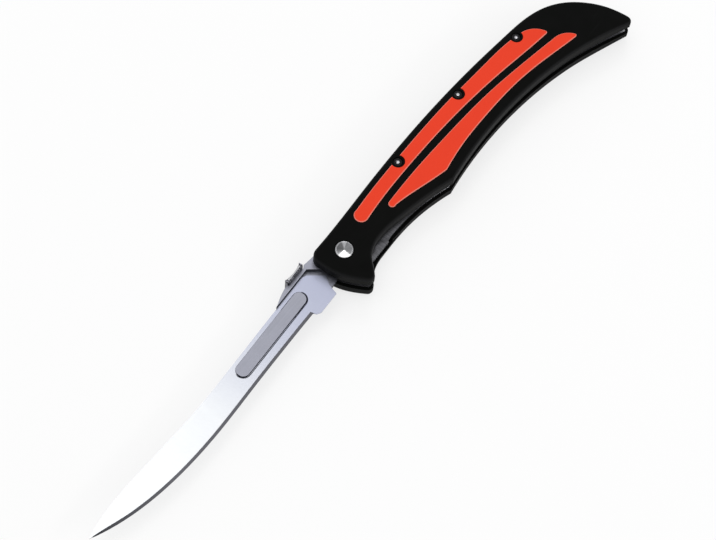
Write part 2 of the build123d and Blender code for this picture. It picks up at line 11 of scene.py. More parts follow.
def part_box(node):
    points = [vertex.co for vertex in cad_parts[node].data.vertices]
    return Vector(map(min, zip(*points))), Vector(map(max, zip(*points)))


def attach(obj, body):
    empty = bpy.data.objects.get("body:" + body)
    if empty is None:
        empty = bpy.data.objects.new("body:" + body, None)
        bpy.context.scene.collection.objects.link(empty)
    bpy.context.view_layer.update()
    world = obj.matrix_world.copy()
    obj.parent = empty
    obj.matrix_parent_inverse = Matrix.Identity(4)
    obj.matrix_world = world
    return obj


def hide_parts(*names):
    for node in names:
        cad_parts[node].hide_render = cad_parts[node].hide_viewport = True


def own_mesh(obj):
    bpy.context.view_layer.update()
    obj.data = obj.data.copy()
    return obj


bl_info = {
    "name": "Folding fillet knife",
    "version": (1, 0, 0),
    "blender": (4, 5, 0),
    "location": "View3D > Sidebar > Fillet Knife",
    "description": "Finishes the pieces of a folding fillet knife and sets a plain studio round it",
    "category": "Object",
}

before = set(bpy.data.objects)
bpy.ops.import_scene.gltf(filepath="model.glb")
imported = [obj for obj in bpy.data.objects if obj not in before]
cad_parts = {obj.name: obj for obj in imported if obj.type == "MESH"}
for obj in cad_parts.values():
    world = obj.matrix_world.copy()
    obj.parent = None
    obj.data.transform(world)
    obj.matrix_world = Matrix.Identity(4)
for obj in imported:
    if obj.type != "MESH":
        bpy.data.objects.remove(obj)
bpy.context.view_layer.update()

MILLIMETRE = 0.001


# Values that a user would change


def colour_property(name, description, default):
    return FloatVectorProperty(
        name=name, description=description, default=default, size=3, min=0.0, max=1.0, subtype="COLOR"
    )


def length_property(name, description, default, smallest=0.0):
    return FloatProperty(
        name=name, description=description, default=default, min=smallest, precision=5, unit="LENGTH"
    )


def share_property(name, description, default, largest=1.0):
    return FloatProperty(name=name, description=description, default=default, min=0.0, max=largest)


def angle_property(name, description, degrees):
    return FloatProperty(name=name, description=description, default=math.radians(degrees), subtype="ANGLE")


class HandleSettings(bpy.types.PropertyGroup):
    plastic_colour: colour_property("Plastic", "Colour of the moulded scales", (0.0018, 0.0020, 0.0017))
    # Paler plastic, for hand wear and as the painted highlight on the rounded rims
    plastic_worn_and_rim_highlight: colour_property("Handled plastic and rim highlight", "Colour of hand wear and of the painted rim highlight", (0.017, 0.017, 0.018))
    rubber_colour: colour_property("Rubber", "Colour of the grips", (0.79, 0.043, 0.0105))
    rubber_deep: colour_property("Deep rubber", "Colour in the grain of the grips", (0.68, 0.033, 0.008))
    # Paler rubber, for rubbed rims and as their painted highlight
    rubber_worn_and_rim_highlight: colour_property("Worn rubber and rim highlight", "Colour along the rubbed rims and of their painted highlight", (0.92, 0.36, 0.29))
    grain_size: length_property("Grain", "Size of the moulded grain", 0.00022, 0.00002)
    grain_depth: length_property("Grain depth", "Height of the moulded grain", 0.000012)


class SteelSettings(bpy.types.PropertyGroup):
    # The blade and root colours are the two ends of a painted reflection, paler towards the tip
    blade_colour: colour_property("Blade", "Colour of the blade towards its tip", (0.665, 0.68, 0.70))
    root_colour: colour_property("Blade root", "Colour of the blade at the holder", (0.40, 0.42, 0.53))
    # Colour of the painted shadow lines round the bar and under the spine ledge
    seam_shadow_colour: colour_property("Seam shadows", "Colour of the painted shadow lines at bar and ledge", (0.012, 0.013, 0.022))
    bevel_colour: colour_property("Cutting bevel", "Colour of the ground bevel", (0.17, 0.17, 0.19))
    holder_colour: colour_property("Holder", "Colour of the blasted holder", (0.315, 0.322, 0.375))
    liner_colour: colour_property("Liners", "Colour of the liners and the lock leaf", (0.26, 0.26, 0.28))
    bright_colour: colour_property("Bright steel", "Colour of the saddle and the ball", (0.52, 0.52, 0.54))
    pivot_colour: colour_property("Turned steel", "Colour of the pivot's turned heads", (0.46, 0.465, 0.48))
    black_colour: colour_property("Blackened steel", "Colour of the screw heads", (0.008, 0.008, 0.009))
    bronze_colour: colour_property("Bronze", "Colour of the washers", (0.45, 0.26, 0.10))
    bar_rear: length_property("Bar's rear", "From the pivot to the rear end of the fitting bar", 0.0202)
    bar_front: length_property("Bar's front", "From the pivot to the front end of the fitting bar", 0.0592)
    bar_rise: length_property("Bar's rise", "From the pivot up to the fitting bar's middle line", 0.003)
    bar_radius: length_property("Bar's radius", "Radius of the slot's round ends", 0.00287)
    ledge_front: length_property("Ledge", "From the pivot to the front end of the spine ledge", 0.030)
    line_depth: length_property("Line depth", "Depth of the brushed lines", 0.000002)
    ring_pitch: length_property("Ring pitch", "Distance between two turned rings", 0.00016, 0.00002)
    # Direction of the painted highlight fan on the pivot's head
    fan_highlight_turn: angle_property("Fan", "Direction of the bright fan on the pivot's head", 216.0)


class ScrewSettings(bpy.types.PropertyGroup):
    head_radius: length_property("Head radius", "Radius of a screw's head", 0.0017)
    head_height: length_property("Head height", "Height of a screw's head", 0.0009)
    rounding: length_property("Rounding", "Rounding of the head's rim", 0.00038)
    crown: length_property("Crown", "Rise of the head towards its middle", 0.00008)
    socket_radius: length_property("Socket radius", "Reach of the driver socket's lobes", 0.00078)
    socket_depth: length_property("Socket depth", "Depth of the driver socket", 0.0006)
    lobe_share: share_property("Lobes", "Depth of the lobes as a share of the socket's radius", 0.14)
    shaft_radius: length_property("Shaft radius", "Radius of a screw's shaft", 0.001)
    nut_radius: length_property("Nut radius", "Radius of a barrel nut's shaft", 0.0015)
    segments: IntProperty(name="Segments", description="Sides round one head", default=72, min=12, max=180)


class StudioSettings(bpy.types.PropertyGroup):
    floor_colour: colour_property("Floor", "Colour of the floor", (0.90, 0.90, 0.90))
    floor_glow: share_property("Floor glow", "Share of plain white that the camera sees in the floor", 0.70)
    floor_reach: length_property("Floor reach", "Half the width of the floor", 4.0)
    ambient: share_property("Ambient", "Level of the light from all round", 0.84, 3.0)
    azimuth: angle_property("Azimuth", "Camera's turn round the knife", -61.4)
    elevation: angle_property("Elevation", "Camera's height as an angle", 65.0)
    roll: angle_property("Roll", "Camera's turn about its own line of sight", 7.0)
    distance: length_property("Distance", "From the camera to its target", 0.707)
    target: FloatVectorProperty(
        name="Target", description="Place that the camera looks at", default=(-0.008549, 0.002357, 0.0136),
        size=3, unit="LENGTH",
    )
    lens: FloatProperty(
        name="Lens", description="Focal length on a 36 mm wide sensor", default=100.56, min=10.0
    )


# Node trees


class Wire:
    """One socket inside a node tree, with the arithmetic that a tree needs."""

    def __init__(self, bench, socket):
        self.bench = bench
        self.socket = socket

    def maths(self, operation, *others, clamp=False):
        values = dict(enumerate((self, *others)))
        return self.bench.add("ShaderNodeMath", {"operation": operation, "use_clamp": clamp}, values)

    def reflected(self, operation, other):
        return self.bench.add("ShaderNodeMath", {"operation": operation}, {0: other, 1: self})

    def __add__(self, other):
        return self.maths("ADD", other)

    def __radd__(self, other):
        return self.reflected("ADD", other)

    def __sub__(self, other):
        return self.maths("SUBTRACT", other)

    def __rsub__(self, other):
        return self.reflected("SUBTRACT", other)

    def __mul__(self, other):
        return self.maths("MULTIPLY", other)

    def __rmul__(self, other):
        return self.reflected("MULTIPLY", other)

    def __truediv__(self, other):
        return self.maths("DIVIDE", other)

    def __rtruediv__(self, other):
        return self.reflected("DIVIDE", other)

    def __pow__(self, other):
        return self.maths("POWER", other)

    def __abs__(self):
        return self.maths("ABSOLUTE")

    def clamped(self):
        return self.maths("ADD", 0.0, clamp=True)

    def parts(self):
        split = self.bench.node("ShaderNodeSeparateXYZ", values={0: self})
        return [Wire(self.bench, output) for output in split.outputs]


class Bench:
    """Makes the nodes of one tree."""

    def __init__(self, tree):
        self.tree = tree

    def node(self, kind, settings=None, values=None):
        made = self.tree.nodes.new(kind)
        for name, value in (settings or {}).items():
            if name == "choices":
                while len(made.index_switch_items) < value:
                    made.index_switch_items.new()
            else:
                setattr(made, name, value)
        for name, value in (values or {}).items():
            if isinstance(value, Wire):
                self.tree.links.new(value.socket, made.inputs[name])
            else:
                made.inputs[name].default_value = value
        return made

    def add(self, kind, settings=None, values=None, output=0):
        return Wire(self, self.node(kind, settings, values).outputs[output])


class Surface(Bench):
    """A material with one shader, read on the knife's own coordinates in metres."""

    def __init__(self, name):
        self.material = bpy.data.materials.new(name)
        self.material.use_nodes = True
        super().__init__(self.material.node_tree)
        self.tree.nodes.clear()
        coordinates = self.node("ShaderNodeTexCoord")
        self.place = Wire(self, coordinates.outputs["Object"])
        self.facing = Wire(self, coordinates.outputs["Normal"])

    def noise(self, feature, stretch=(1.0, 1.0, 1.0), turn=0.0, detail=2.0, seed=0.0):
        # Soft noise whose spots are about feature metres wide, drawn out by stretch
        scale = [1.0 / (feature * pull) for pull in stretch]
        values = {"Vector": self.turned(turn), "Scale": scale, "Location": (seed, seed, seed)}
        mapped = self.add("ShaderNodeMapping", values=values)
        return self.add("ShaderNodeTexNoise", values={"Vector": mapped, "Scale": 1.0, "Detail": detail})

    def turned(self, angle):
        if not angle:
            return self.place
        return self.add("ShaderNodeMapping", values={"Vector": self.place, "Rotation": (0.0, 0.0, angle)})

    def blend(self, factor, first, second):
        values = {0: factor, 6: opaque(first), 7: opaque(second)}
        return self.add("ShaderNodeMix", {"data_type": "RGBA"}, values, output=2)

    def shaded(self, colour, share):
        return self.add("ShaderNodeVectorMath", {"operation": "SCALE"}, {0: colour, "Scale": share})

    def seen_from(self, centre):
        # Place beside a centre: the two steps along X and Y, and the way away from it
        x, y, _ = self.place.parts()
        x, y = x - centre[0], y - centre[1]
        return x, y, (x * x + y * y) ** 0.5

    def slot_seam_shadow(self, pivot, settings, inner, outer):
        """Painted shadow round the bar's belly side and ends, from inner to outer metres beside the slot."""
        inner_blur, outer_blur = 0.06 * MILLIMETRE, 0.12 * MILLIMETRE
        top_share, top_blur = 0.45, 0.8 * MILLIMETRE
        rear, front, radius = settings.bar_rear, settings.bar_front, settings.bar_radius
        x, y, _ = self.seen_from((pivot.x - (rear + front) / 2, pivot.y + settings.bar_rise))
        past = (abs(x) - ((front - rear) / 2 - radius)).maths("MAXIMUM", 0.0)
        beside = (past * past + y * y) ** 0.5 - radius
        line = ((beside - inner) / inner_blur).clamped() * ((outer - beside) / outer_blur).clamped()
        return line * ((radius * top_share - y) / top_blur).clamped()

    def bump(self, height, depth, under=None):
        values = {"Height": height, "Distance": depth, "Strength": 1.0}
        if under:
            values["Normal"] = under
        return self.add("ShaderNodeBump", values=values)

    def rim(self):
        # 1 on rounded edges, 0 on the flats and the side walls
        upright = abs(self.facing.parts()[2])
        return (4.0 * upright * (1.0 - upright)).clamped()

    def walls(self):
        # 1 on upright side walls, 0 on the flats
        return (1.0 - abs(self.facing.parts()[2]) * 1.6).clamped()

    def finish(self, values):
        shader = self.add("ShaderNodeBsdfPrincipled", values=values)
        self.node("ShaderNodeOutputMaterial", values={"Surface": shader})
        return self.material


def opaque(colour):
    return colour if isinstance(colour, Wire) else (*colour[:3], 1.0)


def scaled(colour, share):
    return tuple(channel * share for channel in colour)


# Finishes


def moulded_plastic(name, settings, gloss=0.0):
    """Black moulded plastic with a fine eroded grain, polished a little where hands reach, and a painted
    highlight on its rims.
    """
    surface = Surface(name)
    grain = surface.noise(settings.grain_size, detail=3.0)
    mottle = surface.noise(6.0 * MILLIMETRE, detail=3.0, seed=3.0)
    rubbed = surface.noise(0.9 * MILLIMETRE, (14.0, 1.0, 1.0), 0.05, detail=4.0, seed=7.0)
    scuffs = ((rubbed - 0.62) * 6.0).clamped()
    rim = surface.rim()
    # Wear from mottle and scuffs, and a painted highlight along the rounded rims
    wear_and_rim_highlight = (rim * 0.6 + mottle * 0.12 + scuffs * 0.10).clamped()
    return surface.finish({
        "Base Color": surface.blend(wear_and_rim_highlight, settings.plastic_colour, settings.plastic_worn_and_rim_highlight),
        "Roughness": 0.46 - gloss + 0.12 * grain - 0.22 * rim,
        "Specular IOR Level": 0.035,
        "Normal": surface.bump(grain, settings.grain_depth, surface.bump(mottle, 0.02 * MILLIMETRE)),
    })


def grip_rubber(settings):
    """Orange rubber with a fine dry grain and slow changes of tone, its rims lightened for wear and as a
    painted highlight.
    """
    surface = Surface("grip_rubber")
    grain = surface.noise(settings.grain_size * 0.9, detail=3.0, seed=1.0)
    pits = surface.noise(settings.grain_size * 2.4, detail=2.0, seed=5.0)
    cloud = surface.noise(9.0 * MILLIMETRE, detail=3.0, seed=2.0)
    deep = ((grain - 0.40) * 0.9 + (cloud - 0.5) * 0.5 + 0.18).clamped()
    body = surface.blend(deep, settings.rubber_colour, settings.rubber_deep)
    return surface.finish({
        # Rims lightened for wear and as a painted highlight
        "Base Color": surface.blend(surface.rim() * (0.6 + 0.4 * cloud), body, settings.rubber_worn_and_rim_highlight),
        "Roughness": 0.66 + 0.18 * pits,
        "Specular IOR Level": 0.28,
        "Normal": surface.bump(pits, settings.grain_depth * 1.6, surface.bump(grain, settings.grain_depth)),
    })


def brushed_steel(name, colour, settings, turn=0.0, roughness=0.34, streak=0.16, blasted=0.0, wall_shade_share=1.0,
                  shade=None):
    """Steel with fine brushed lines along X, turned by an angle.

    Its cut side walls are darkened to a share of its colour, as painted shade. A shade takes the surface and
    gives the shaded places and their colour.
    """
    surface = Surface(name)
    lines = surface.noise(0.06 * MILLIMETRE, (260.0, 1.0, 1.0), turn, detail=4.0)
    wide = surface.noise(0.4 * MILLIMETRE, (60.0, 1.0, 1.0), turn, detail=3.0, seed=4.0)
    cloud = surface.noise(7.0 * MILLIMETRE, detail=3.0, seed=9.0)
    tone = (0.5 + (lines - 0.5) * 0.9 + (wide - 0.5) * 0.9 + (cloud - 0.5) * 0.5).clamped()
    height = lines
    if blasted:
        peen = surface.noise(0.16 * MILLIMETRE, detail=2.0, seed=6.0)
        height = lines * (1.0 - blasted) + peen * (blasted * 4.0)
    face = surface.blend(tone, scaled(colour, 1.0 - streak), scaled(colour, 1.0 + streak * 0.6))
    # Painted shade: upright side walls darkened to a share of the colour
    face = surface.blend(surface.walls(), face, scaled(colour, wall_shade_share))
    if shade:
        place, dark = shade(surface)
        face = surface.blend(place, face, dark)
    return surface.finish({
        "Base Color": face,
        "Metallic": 1.0,
        "Roughness": roughness - 0.04 + 0.10 * wide,
        "Normal": surface.bump(height, settings.line_depth),
    })


def turned_steel(settings, centre, radius):
    """Turned steel: fine rings, and a dark dish, a bright fan and a paler ring, all painted light and shade.
    """
    fan_highlight_colour = (0.95, 0.95, 0.95)
    ring_share, ring_blur = 0.80, 0.2 * MILLIMETRE
    surface = Surface("pivot_steel")
    x, y, away = surface.seen_from(centre)
    rings = (away * (math.tau / settings.ring_pitch)).maths("SINE") * 0.5 + 0.5
    uneven = surface.add(
        "ShaderNodeTexNoise",
        {"noise_dimensions": "1D"},
        {"W": away * (2.2 / settings.ring_pitch), "Scale": 1.0, "Detail": 2.0},
    )
    smudge = surface.noise(1.8 * MILLIMETRE, detail=3.0, seed=2.0)
    # Painted light and shade: a dark dish, a bright fan to one side, a pale streak opposite it and a paler
    # ring round it
    side = (x * math.cos(settings.fan_highlight_turn) + y * math.sin(settings.fan_highlight_turn)) / (away + 0.01 * MILLIMETRE)
    fan = ((side - 0.66) * 7.0).clamped()
    streak = ((0.0 - side - 0.93) * 16.0).clamped() * 0.45
    ring_highlight = ((away - radius * ring_share) / ring_blur).clamped() * 0.30
    grooves = 0.22 * (rings * 0.4 + uneven * 0.6 - 0.5)
    tone = (0.10 + 0.42 * (side + 0.15).clamped() + streak + ring_highlight + grooves).clamped()
    # Lit and shaded copies of the turned steel's colour
    body = surface.blend(tone, scaled(settings.pivot_colour, 0.20), scaled(settings.pivot_colour, 1.15))
    return surface.finish({
        "Base Color": surface.blend(fan, body, fan_highlight_colour),
        "Metallic": 1.0,
        "Roughness": 0.24 + 0.10 * smudge,
        "Normal": surface.bump(rings * 0.6 + uneven * 0.4, settings.line_depth * 2.0),
    })


def thumbed_steel(settings, low):
    """Lock leaf, scored across for the thumb, with a painted highlight on its outer edge and painted shade
    further in.
    """
    lit_edge_width, fade_width = 0.8 * MILLIMETRE, 3.4 * MILLIMETRE
    surface = Surface("leaf_steel")
    lines = surface.noise(0.26 * MILLIMETRE, (1.0, 40.0, 1.0), detail=2.0, seed=3.0)
    wide = surface.noise(0.6 * MILLIMETRE, (20.0, 1.0, 1.0), detail=3.0, seed=4.0)
    # Painted highlight along the outer edge, fading to painted shade further in
    inward_shade = ((surface.place.parts()[1] - low - lit_edge_width) / fade_width).clamped()
    body = surface.blend(inward_shade, scaled(settings.liner_colour, 3.7), scaled(settings.liner_colour, 0.7))
    scored = ((lines - 0.35) * 4.0).clamped()
    return surface.finish({
        "Base Color": surface.shaded(body, 0.68 + 0.36 * scored),
        "Metallic": 1.0,
        "Roughness": 0.30 + 0.12 * wide,
        "Normal": surface.bump(lines, settings.line_depth * 3.0),
    })


def blackened_steel(settings):
    """Oxide-black steel, thinner and browner where a driver or a thumb has rubbed it."""
    rubbed_colour = (0.060, 0.055, 0.052)
    surface = Surface("blackened_steel")
    fine = surface.noise(0.12 * MILLIMETRE, detail=3.0)
    cloud = surface.noise(1.1 * MILLIMETRE, detail=3.0, seed=3.0)
    worn = (surface.rim() * cloud * 0.5).clamped()
    return surface.finish({
        "Base Color": surface.blend(worn, settings.black_colour, rubbed_colour),
        "Metallic": 0.1,
        "Roughness": 0.44 + 0.16 * fine,
        "Specular IOR Level": 0.16,
        "Normal": surface.bump(fine, 0.004 * MILLIMETRE),
    })


def blade_steel(settings, pivot, spine):
    """Satin blade, bluer at its root, with a grey bevel and painted shadow lines at the bar and under the
    ledge.
    """
    pale_from, pale_over = 12.0 * MILLIMETRE, 64.0 * MILLIMETRE
    tip_from, tip_over = 100.0 * MILLIMETRE, 30.0 * MILLIMETRE
    ledge_line, ledge_blur, ledge_fade = 0.55 * MILLIMETRE, 0.12 * MILLIMETRE, 0.6 * MILLIMETRE
    surface = Surface("blade_steel")
    grind = surface.noise(0.05 * MILLIMETRE, (1.0, 90.0, 1.0), math.radians(4.0), detail=4.0)
    bands = surface.noise(2.2 * MILLIMETRE, (1.0, 9.0, 1.0), math.radians(4.0), detail=3.0, seed=4.0)
    cloud = surface.noise(12.0 * MILLIMETRE, detail=3.0, seed=8.0)
    upright = abs(surface.facing.parts()[2])
    bevel = ((0.985 - upright) * 60.0).clamped() * ((upright - 0.6) * 10.0).clamped()
    hone = surface.noise(0.04 * MILLIMETRE, (1.0, 30.0, 1.0), math.radians(-12.0), detail=3.0, seed=5.0)
    x, y, _ = surface.place.parts()
    # Painted reflection: darker and bluer at the root, paler towards the tip
    out = ((pivot.x - pale_from - x) / pale_over).clamped() ** 1.5
    tone = ((grind - 0.5) * 0.5 + (bands - 0.5) * 0.35 + (cloud - 0.5) * 0.5) * 0.12 + 1.0
    side = surface.shaded(surface.blend(out, settings.root_colour, settings.blade_colour), tone)
    # Painted shade: the ground bevel is darker than its steel would show and darkens more towards the tip
    tip = ((pivot.x - tip_from - x) / tip_over).clamped()
    ground = surface.blend(hone, scaled(settings.bevel_colour, 0.7), scaled(settings.bevel_colour, 1.3))
    ground = surface.shaded(ground, 1.0 - 0.5 * tip)
    # Painted shadow line along the spine under the ledge, and painted shadow round the bar
    under = ((y - (spine - ledge_line)) / ledge_blur).clamped()
    under = under * ((x - (pivot.x - settings.ledge_front)) / ledge_fade).clamped()
    seam_shadow = (under + surface.slot_seam_shadow(pivot, settings, 0.0, 0.38 * MILLIMETRE)).clamped()
    return surface.finish({
        "Base Color": surface.blend(seam_shadow, surface.blend(bevel, side, ground), settings.seam_shadow_colour),
        "Metallic": 1.0,
        "Roughness": 0.27 + 0.08 * grind + 0.10 * bevel,
        "Normal": surface.bump(grind * (1.0 - bevel) + hone * bevel, settings.line_depth),
    })


def sintered_bronze(settings):
    """Bronze washer with polish rings and small pores."""
    surface = Surface("sintered_bronze")
    pores = surface.noise(0.15 * MILLIMETRE, detail=2.0)
    cloud = surface.noise(2.0 * MILLIMETRE, detail=3.0, seed=2.0)
    return surface.finish({
        "Base Color": surface.blend(cloud, scaled(settings.bronze_colour, 0.7), settings.bronze_colour),
        "Metallic": 1.0,
        "Roughness": 0.30 + 0.18 * pores,
        "Normal": surface.bump(pores, 0.004 * MILLIMETRE),
    })


def ground_steel(settings, colour):
    """Hard ground steel of the stop pin and the ball."""
    surface = Surface("ground_steel")
    lines = surface.noise(0.05 * MILLIMETRE, (1.0, 1.0, 60.0), detail=3.0)
    smudge = surface.noise(1.2 * MILLIMETRE, detail=3.0, seed=2.0)
    return surface.finish({
        "Base Color": surface.blend(smudge, scaled(colour, 0.8), colour),
        "Metallic": 1.0,
        "Roughness": 0.20 + 0.14 * lines,
        "Normal": surface.bump(lines, settings.line_depth),
    })


# Pieces


def dress(material, *names):
    for name in names:
        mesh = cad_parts[name].data
        mesh.materials.clear()
        mesh.materials.append(material)


def pivot_centre():
    low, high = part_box("pivot_barrel")
    return (low + high) / 2


def pivot_radius():
    low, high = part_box("pivot_barrel")
    return (high.x - low.x) / 2


def softened_copy(name, piece_name, edge, steps=2):
    """Merged copy of a CAD node. An edge above 0 is the width of the bevel that breaks its sharp edges."""
    merge_gap = 0.01 * MILLIMETRE
    flat_angle, sharp_angle, shading_angle = (math.radians(degrees) for degrees in (1.0, 30.0, 40.0))
    mesh = bpy.data.meshes.new(piece_name)
    work = bmesh.new()
    work.from_mesh(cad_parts[name].data)
    bmesh.ops.remove_doubles(work, verts=work.verts, dist=merge_gap)
    bmesh.ops.dissolve_limit(work, angle_limit=flat_angle, verts=work.verts, edges=work.edges)
    if edge:
        sharp = [
            side for side in work.edges
            if len(side.link_faces) == 2 and side.calc_face_angle(0.0) > sharp_angle
        ]
        bmesh.ops.bevel(
            work, geom=sharp, offset=edge, segments=steps, profile=0.5, affect="EDGES", clamp_overlap=True
        )
    bmesh.ops.triangulate(work, faces=work.faces)
    for face in work.faces:
        face.smooth = True
    work.to_mesh(mesh)
    work.free()
    mesh.set_sharp_from_angle(angle=shading_angle)
    piece = bpy.data.objects.new(piece_name, mesh)
    bpy.context.scene.collection.objects.link(piece)
    return piece


def clusters(name, gap):
    """Middles of a node's separate solids, which stand apart along X."""
    points = sorted((vertex.co.copy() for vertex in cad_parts[name].data.vertices), key=lambda co: co.x)
    groups = [[points[0]]]
    for point in points[1:]:
        if point.x - groups[-1][-1].x > gap:
            groups.append([])
        groups[-1].append(point)
    return [middle_of(group) for group in groups]


def middle_of(points):
    low = Vector([min(point[axis] for point in points) for axis in range(3)])
    high = Vector([max(point[axis] for point in points) for axis in range(3)])
    return (low + high) / 2


def screw_tree():
    """Geometry nodes that turn points into headed fasteners with a lobed driver socket.

    One grid is rolled up into each fastener: its columns are the stations of the turned profile, from the
    middle of the socket's floor, over the head and down the shaft, and its rows go once round.
    """
    lobes, rim_steps, socket_steps = 6, 5, 3.0
    merge_gap = 0.002 * MILLIMETRE
    tree = bpy.data.node_groups.new("fastener", "GeometryNodeTree")
    sockets = [("Geometry", "NodeSocketGeometry")]
    numbers = (
        "Head Radius", "Head Height", "Rounding", "Crown", "Socket Radius", "Socket Depth", "Lobe Share",
        "Shaft Radius", "Shaft Length", "Tilt",
    )
    sockets += [(name, "NodeSocketFloat") for name in numbers]
    sockets.append(("Segments", "NodeSocketInt"))
    sockets += [(name, "NodeSocketMaterial") for name in ("Head Finish", "Socket Finish")]
    for name, kind in sockets:
        tree.interface.new_socket(name, in_out="INPUT", socket_type=kind)
    tree.interface.new_socket("Geometry", in_out="OUTPUT", socket_type="NodeSocketGeometry")
    bench = Bench(tree)
    given = bench.node("NodeGroupInput")
    wires = {name: Wire(bench, given.outputs[name]) for name, _ in sockets}
    head, height, rounding = wires["Head Radius"], wires["Head Height"], wires["Rounding"]
    hole, depth = wires["Socket Radius"], wires["Socket Depth"]
    shaft, length = wires["Shaft Radius"], wires["Shaft Length"]
    crown = wires["Crown"]

    def station(radius, level, lobed=0.0):
        return bench.add("ShaderNodeCombineXYZ", values={0: radius, 1: level, 2: lobed})

    lip = rounding * 0.25
    stations = [
        station(0.0, 0.0 - depth),
        station(hole * 0.55, 0.0 - depth * 0.97, 0.4),
        station(hole * 0.92, 0.0 - depth * 0.85, 1.0),
        station(hole, 0.0 - lip, 1.0),
        station(hole + lip, 0.0 - lip * 0.1, 0.9),
        station(hole + lip * 2.0, 0.0, 0.6),
        station((hole + head) * 0.5, 0.0 - crown * 0.5),
    ]
    for step in range(rim_steps + 1):
        angle = math.radians(90.0 * step / rim_steps)
        stations.append(station(
            head - rounding * (1.0 - math.sin(angle)),
            0.0 - crown - rounding * (1.0 - math.cos(angle)),
        ))
    stations += [
        station(head, 0.0 - height),
        station(shaft, 0.0 - height),
        station(shaft, 0.0 - length + rounding * 0.5),
        station(shaft - rounding * 0.5, 0.0 - length),
        station(0.0, 0.0 - length),
    ]
    last = len(stations) - 1
    rows = wires["Segments"]
    grid = bench.node("GeometryNodeMeshGrid", values={
        "Size X": float(last), "Size Y": 1.0, "Vertices X": last + 1, "Vertices Y": rows + 1.0,
    })
    spot = bench.add("GeometryNodeInputPosition").parts()
    column = (spot[0] + last / 2.0).maths("ROUND")
    angle = (spot[1] + 0.5) * math.tau
    choice = {"Index": column}
    for index, wire in enumerate(stations):
        choice[index + 1] = wire
    switch = {"data_type": "VECTOR", "choices": len(stations)}
    profile = bench.add("GeometryNodeIndexSwitch", switch, choice).parts()
    wave = (angle * float(lobes)).maths("COSINE")
    radius = profile[0] * (1.0 + profile[2] * wires["Lobe Share"] * (wave - 1.0))
    rolled = bench.add("ShaderNodeCombineXYZ", values={
        0: radius * angle.maths("COSINE"), 1: radius * angle.maths("SINE"), 2: profile[1],
    })
    marked = bench.add("GeometryNodeStoreNamedAttribute", {"domain": "FACE", "data_type": "FLOAT"}, {
        "Geometry": Wire(bench, grid.outputs["Mesh"]), "Name": "station", "Value": spot[0] + last / 2.0,
    })
    shaped = bench.add("GeometryNodeSetPosition", values={"Geometry": marked, "Position": rolled})
    closed = bench.add("GeometryNodeMergeByDistance", values={"Geometry": shaped, "Distance": merge_gap})
    turn = bench.add("ShaderNodeCombineXYZ", values={0: wires["Tilt"], 1: 0.0, 2: 0.0})
    spread = bench.add("GeometryNodeInstanceOnPoints", values={
        "Points": wires["Geometry"], "Instance": closed, "Rotation": turn,
    })
    real = bench.add("GeometryNodeRealizeInstances", values={"Geometry": spread})
    smooth = bench.add("GeometryNodeSetShadeSmooth", values={0: real})
    painted = bench.add("GeometryNodeSetMaterial", values={
        "Geometry": smooth, "Material": wires["Head Finish"],
    })
    mark = bench.node("GeometryNodeInputNamedAttribute", {"data_type": "FLOAT"}, {"Name": "station"})
    inside = Wire(bench, mark.outputs["Attribute"]).maths("LESS_THAN", socket_steps)
    painted = bench.add("GeometryNodeSetMaterial", values={
        "Geometry": painted, "Selection": inside, "Material": wires["Socket Finish"],
    })
    bench.node("NodeGroupOutput", values={"Geometry": painted})
    return tree


def run_tree(tree, piece_name, points, values):
    """Plain mesh piece that a geometry node tree makes on some points."""
    shading_angle = math.radians(38.0)
    start = bpy.data.meshes.new(piece_name + "_points")
    start.from_pydata(points, [], [])
    source = bpy.data.objects.new(piece_name + "_source", start)
    bpy.context.scene.collection.objects.link(source)
    modifier = source.modifiers.new("fasteners", "NODES")
    modifier.node_group = tree
    for item in tree.interface.items_tree:
        if item.item_type == "SOCKET" and item.in_out == "INPUT" and item.name in values:
            modifier[item.identifier] = values[item.name]
    ready = source.evaluated_get(bpy.context.evaluated_depsgraph_get())
    mesh = bpy.data.meshes.new_from_object(ready)
    mesh.name = piece_name
    mesh.set_sharp_from_angle(angle=shading_angle)
    source.modifiers.remove(modifier)
    bpy.data.objects.remove(source)
    bpy.data.meshes.remove(start)
    piece = bpy.data.objects.new(piece_name, mesh)
    bpy.context.scene.collection.objects.link(piece)
    return piece


# Operators, one for each group of pieces


class FILLETKNIFE_OT_scales(bpy.types.Operator):
    """Give the two scales and the back spacer their moulded plastic"""

    bl_idname = "filletknife.scales"
    bl_label = "Scales and spacer"

    def execute(self, context):
        settings = context.scene.filletknife_handle
        dress(moulded_plastic("scale_plastic", settings), "far_scale", "near_scale")
        dress(moulded_plastic("spacer_plastic", settings, gloss=0.08), "back_spacer")
        return {"FINISHED"}


class FILLETKNIFE_OT_grips(bpy.types.Operator):
    """Give the four grips their rubber"""

    bl_idname = "filletknife.grips"
    bl_label = "Rubber grips"

    def execute(self, context):
        rubber = grip_rubber(context.scene.filletknife_handle)
        dress(rubber, "far_upper_grip", "far_lower_grip", "near_upper_grip", "near_lower_grip")
        return {"FINISHED"}


